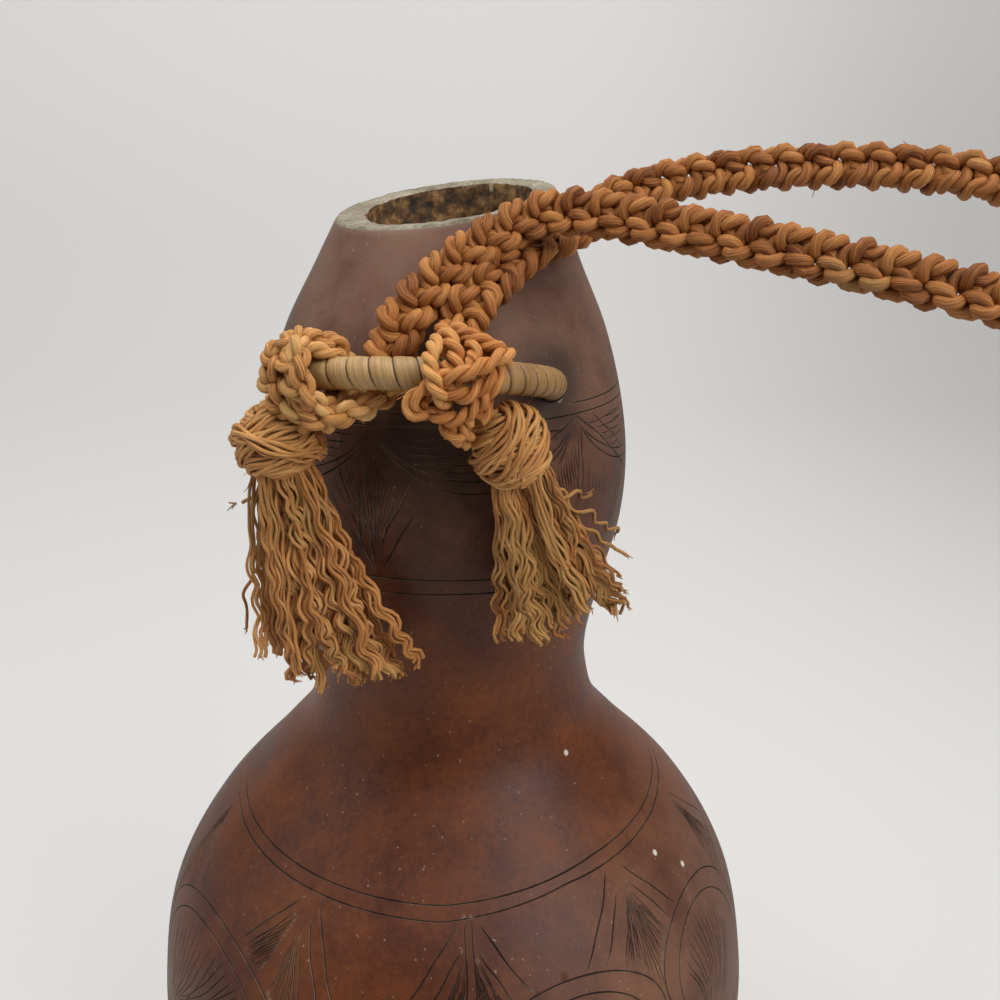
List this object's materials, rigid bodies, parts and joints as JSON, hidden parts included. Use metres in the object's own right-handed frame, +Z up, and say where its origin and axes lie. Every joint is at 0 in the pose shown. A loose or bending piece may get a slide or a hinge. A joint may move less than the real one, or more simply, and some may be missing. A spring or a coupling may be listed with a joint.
{
  "type": "dried bottle gourd",
  "caption": "Dried bottle gourd vessel: hollow two-bulb shell with incised ornament, wrapped cane bail, and a braided strap with hitches, bound knobs and tassels.",
  "frame": {"origin": "centre of the flat spot that the gourd stands on, on its axis", "axes": "+Z up along the gourd's axis towards the mouth, -Y towards the bail and tassels, +X towards the strap"},
  "size_m": [0.4618, 0.2283, 0.4133],
  "materials": {
    "gourd_skin": "polished dark chestnut gourd skin with fine incised lines, satin",
    "cane": "bare bent cane, matt",
    "cane_wrapping": "flat split cane wound in close turns, satin",
    "braided_fibre": "braided plant fibre, orange brown, matt",
    "binding_fibre": "wound plant fibre, straw brown, matt",
    "tassel_fibre": "kinked loose plant fibre, straw brown, matt"
  },
  "bodies": {
    "root": {"gourd_shell": "gourd_skin", "bail_core": "cane", "bail_wrap": "cane_wrapping", "strap_cord": "braided_fibre", "hitch_left": "braided_fibre", "hitch_right": "braided_fibre", "knob_left": "binding_fibre", "knob_right": "binding_fibre", "tassel_left": "tassel_fibre", "tassel_right": "tassel_fibre"}
  },
  "joints": []
}
